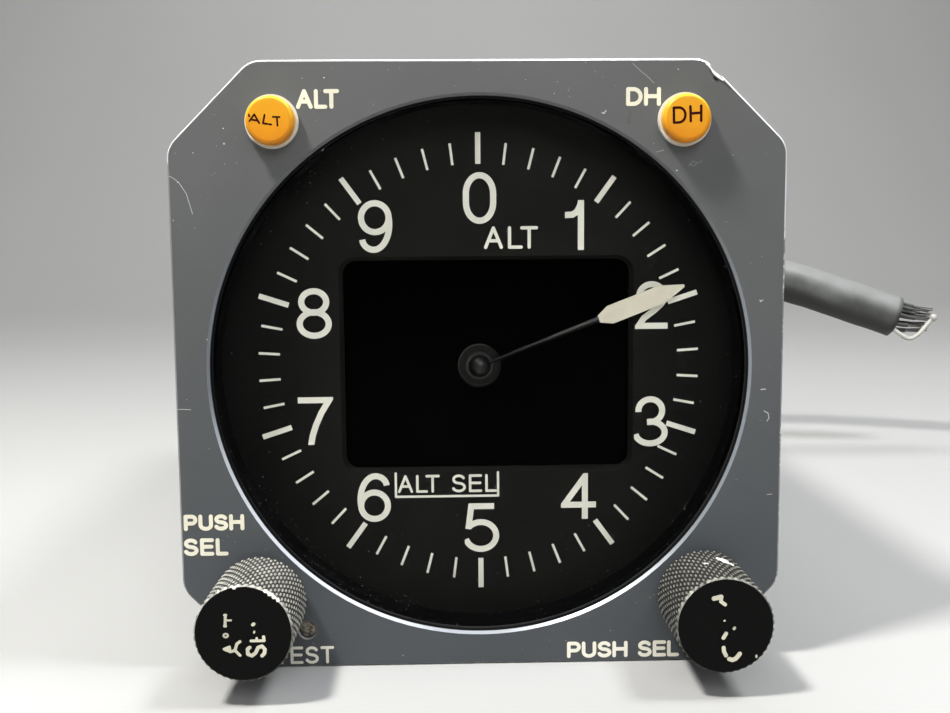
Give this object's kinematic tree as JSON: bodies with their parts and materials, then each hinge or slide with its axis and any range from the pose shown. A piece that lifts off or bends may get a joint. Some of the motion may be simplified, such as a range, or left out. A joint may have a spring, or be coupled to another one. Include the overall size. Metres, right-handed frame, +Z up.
{
  "type": "air data display indicator",
  "caption": "Square panel indicator with a round black dial, pointer and display window, amber lamps, knurled push and turn knobs, a test button and a short cut harness.",
  "frame": {"origin": "on the pointer's axis, in the plane of the bezel's rear face where it seats on the panel", "axes": "+Y into the panel along the pointer's axis, +Z up the dial, +X to the right seen from the front"},
  "size_m": [0.1766, 0.192, 0.0826],
  "materials": {
    "bezel_paint": "satin grey paint, worn to metal on its edges",
    "cover_glass": "coated glass",
    "black_ring": "matt black, dusty",
    "seal_rubber": "matt",
    "dial_black": "matt black paint",
    "dial_white": "matt off-white print",
    "display_black": "polished, unlit",
    "diffuser": "frosted",
    "frame_metal": "machined",
    "boss_grey": "satin dark grey",
    "pointer_paint": "black stem and off-white lance",
    "brass": "turned",
    "steel": "bright",
    "knob_black": "black, worn to bare metal on the knurl",
    "lamp_amber": "amber, glossy",
    "lamp_white": "cream",
    "button_brown": "dull brown grey",
    "switch_black": "moulded",
    "board": "lacquered board",
    "guide_grey": "moulded",
    "case_black": "matt black paint",
    "connector_metal": "dull olive plating",
    "sleeve_grey": "shrunk sleeve, slightly glossy",
    "wire_dark": "stranded, dark insulation",
    "wire_white": "white insulation"
  },
  "bodies": {
    "instrument": {"bezel": "bezel_paint", "glass_seal": "seal_rubber", "cover_glass": "cover_glass", "wall_ring": "black_ring", "dial_plate": "dial_black", "dial_marks": "dial_white", "display_glass": "display_black", "backlight_panel": "diffuser", "display_carrier": "frame_metal", "front_plate": "frame_metal", "shaft_boss": "boss_grey", "front_bearing": "brass", "rear_bearing": "brass", "motor_body": "steel", "gear_plate": "frame_metal", "front_spacers": "frame_metal", "motor_spacers": "frame_metal", "display_board": "board", "bulkhead": "frame_metal", "tie_rods": "frame_metal", "card_guides": "guide_grey", "processor_board": "board", "power_board": "board", "case": "case_black", "rear_plate": "case_black", "rear_screws": "steel", "connector_receptacle": "connector_metal", "receptacle_screws": "steel", "plug_shell": "connector_metal", "coupling_nut": "connector_metal", "backshell": "connector_metal", "cable_clamp": "connector_metal", "clamp_screws": "steel", "harness_sleeve": "sleeve_grey", "cut_wires": "wire_dark", "white_wire": "wire_white", "lamp_body_left": "lamp_white", "lamp_body_right": "lamp_white", "lamp_cap_left": "lamp_amber", "lamp_cap_right": "lamp_amber", "encoder_left": "steel", "encoder_right": "steel", "encoder_nuts": "steel", "test_switch": "switch_black"},
    "pointer_assembly": {"pointer": "pointer_paint", "pointer_hub": "boss_grey", "pointer_shaft": "steel", "pointer_gear": "brass"},
    "motor_rotor": {"motor_shaft": "steel", "motor_pinion": "brass"},
    "left_push": {"push_plunger_left": "steel"},
    "left_knob": {"knob_left": "knob_black", "set_screw_left": "steel", "encoder_shaft_left": "steel"},
    "right_push": {"push_plunger_right": "steel"},
    "right_knob": {"knob_right": "knob_black", "set_screw_right": "steel", "encoder_shaft_right": "steel"},
    "test_plunger": {"test_button": "button_brown"}
  },
  "joints": [
    {"name": "pointer_turn", "type": "hinge", "parent": "instrument", "child": "pointer_assembly", "pos_m": [0, 0, 0], "axis": [0, 1, 0], "continuous": true},
    {"name": "motor_turn", "type": "hinge", "parent": "instrument", "child": "motor_rotor", "pos_m": [0, 0, -0.0144], "axis": [0, 1, 0], "continuous": true},
    {"name": "left_knob_push", "type": "slide", "parent": "instrument", "child": "left_push", "axis": [0, 1, 0], "range_m": [0, 0.0007], "stiffness_N_per_m": 700, "springref_m": -0.0012},
    {"name": "left_knob_turn", "type": "hinge", "parent": "left_push", "child": "left_knob", "pos_m": [-0.0305, 0, -0.03145], "axis": [0, 1, 0], "continuous": true},
    {"name": "right_knob_push", "type": "slide", "parent": "instrument", "child": "right_push", "axis": [0, 1, 0], "range_m": [0, 0.0007], "stiffness_N_per_m": 700, "springref_m": -0.0012},
    {"name": "right_knob_turn", "type": "hinge", "parent": "right_push", "child": "right_knob", "pos_m": [0.0305, 0, -0.03145], "axis": [0, 1, 0], "continuous": true},
    {"name": "test_button_push", "type": "slide", "parent": "instrument", "child": "test_plunger", "axis": [0, 1, 0], "range_m": [0, 0.0006], "stiffness_N_per_m": 400, "springref_m": -0.001}
  ],
  "couplings": [
    {"joint": "motor_turn", "follows": "pointer_turn", "ratio": -5}
  ]
}
